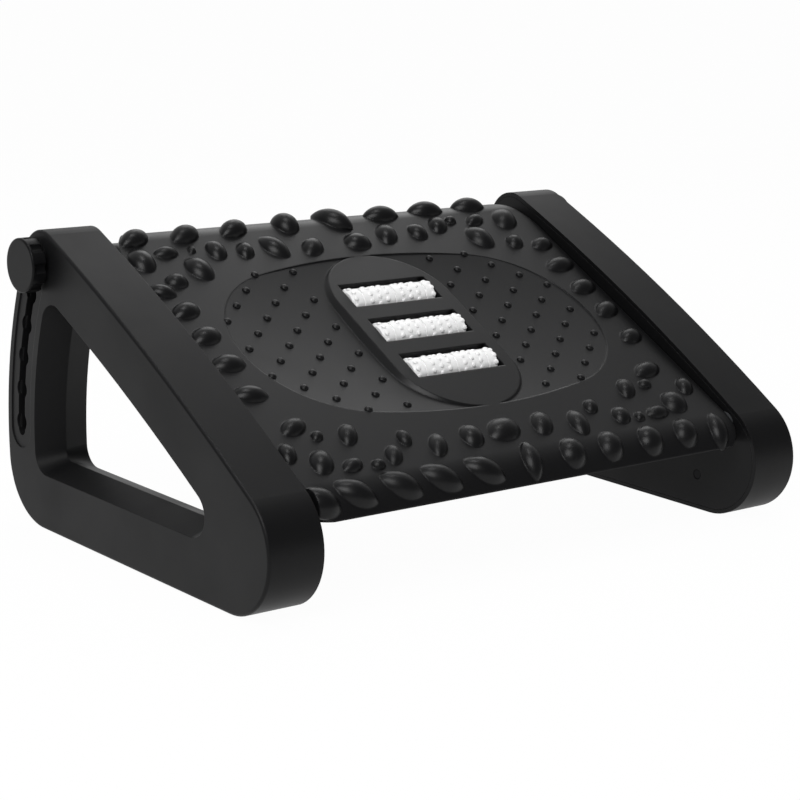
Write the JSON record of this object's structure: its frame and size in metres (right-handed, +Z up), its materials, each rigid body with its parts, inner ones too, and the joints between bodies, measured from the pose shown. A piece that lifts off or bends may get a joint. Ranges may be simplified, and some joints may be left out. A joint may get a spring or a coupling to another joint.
{
  "type": "tilting under-desk footrest",
  "caption": "Under-desk footrest: two hollow side frames carry a tilting studded deck with massage rollers, clamped in arc slots by scalloped knobs.",
  "frame": {"origin": "on the floor, midway between the side frames and midway front to back", "axes": "+X to the user's right, +Y away from the user to the high rear end, +Z up; deck at its steepest setting"},
  "size_m": [0.4754, 0.3148, 0.205],
  "materials": {
    "frame_plastic": "satin moulded black",
    "deck_plastic": "satin moulded black",
    "cradle_plastic": "matt moulded black",
    "knob_plastic": "satin moulded black",
    "bush_plastic": "plain moulded dark grey",
    "roller_plastic": "semi-gloss moulded white",
    "rubber": "matt",
    "steel": "bright zinc plate"
  },
  "bodies": {
    "side_frames": {"frame_shell_left": "frame_plastic", "frame_shell_right": "frame_plastic", "frame_cover_left": "frame_plastic", "frame_cover_right": "frame_plastic", "cover_screws": "steel", "rubber_feet": "rubber", "hinge_pin_left": "steel", "hinge_pin_right": "steel"},
    "deck": {"deck_board": "deck_plastic", "roller_cradle": "cradle_plastic", "cradle_screws": "steel", "axle_front": "steel", "axle_middle": "steel", "axle_rear": "steel", "hinge_bush_left": "bush_plastic", "hinge_bush_right": "bush_plastic", "clamp_nut_left": "steel", "clamp_nut_right": "steel"},
    "front_roller": {"roller_front": "roller_plastic"},
    "middle_roller": {"roller_middle": "roller_plastic"},
    "rear_roller": {"roller_rear": "roller_plastic"},
    "left_stud": {"clamp_stud_left": "steel"},
    "right_stud": {"clamp_stud_right": "steel"},
    "left_knob": {"knob_left": "knob_plastic"},
    "right_knob": {"knob_right": "knob_plastic"}
  },
  "joints": [
    {"name": "deck_tilt", "type": "hinge", "parent": "side_frames", "child": "deck", "pos_m": [0, -0.12655, 0.068], "axis": [1, 0, 0], "range_deg": [-25, 0]},
    {"name": "front_roller_spin", "type": "hinge", "parent": "deck", "child": "front_roller", "pos_m": [0, -0.04503, 0.11384], "axis": [1, 0, 0], "continuous": true},
    {"name": "middle_roller_spin", "type": "hinge", "parent": "deck", "child": "middle_roller", "pos_m": [0, -0.01059, 0.13215], "axis": [1, 0, 0], "continuous": true},
    {"name": "rear_roller_spin", "type": "hinge", "parent": "deck", "child": "rear_roller", "pos_m": [0, 0.02384, 0.15046], "axis": [1, 0, 0], "continuous": true},
    {"name": "left_stud_travel", "type": "slide", "parent": "deck", "child": "left_stud", "axis": [1, 0, 0], "range_m": [0, 0.0024]},
    {"name": "left_knob_turn", "type": "hinge", "parent": "left_stud", "child": "left_knob", "pos_m": [-0.2275, 0.11283, 0.18167], "axis": [1, 0, 0], "range_deg": [0, 692]},
    {"name": "right_stud_travel", "type": "slide", "parent": "deck", "child": "right_stud", "axis": [-1, 0, 0], "range_m": [0, 0.0024]},
    {"name": "right_knob_turn", "type": "hinge", "parent": "right_stud", "child": "right_knob", "pos_m": [0.2275, 0.11283, 0.18167], "axis": [-1, 0, 0], "range_deg": [0, 692]}
  ],
  "couplings": [
    {"joint": "left_knob_turn", "follows": "left_stud_travel", "rad_per_m": 5026.5},
    {"joint": "right_knob_turn", "follows": "right_stud_travel", "rad_per_m": 5026.5}
  ]
}
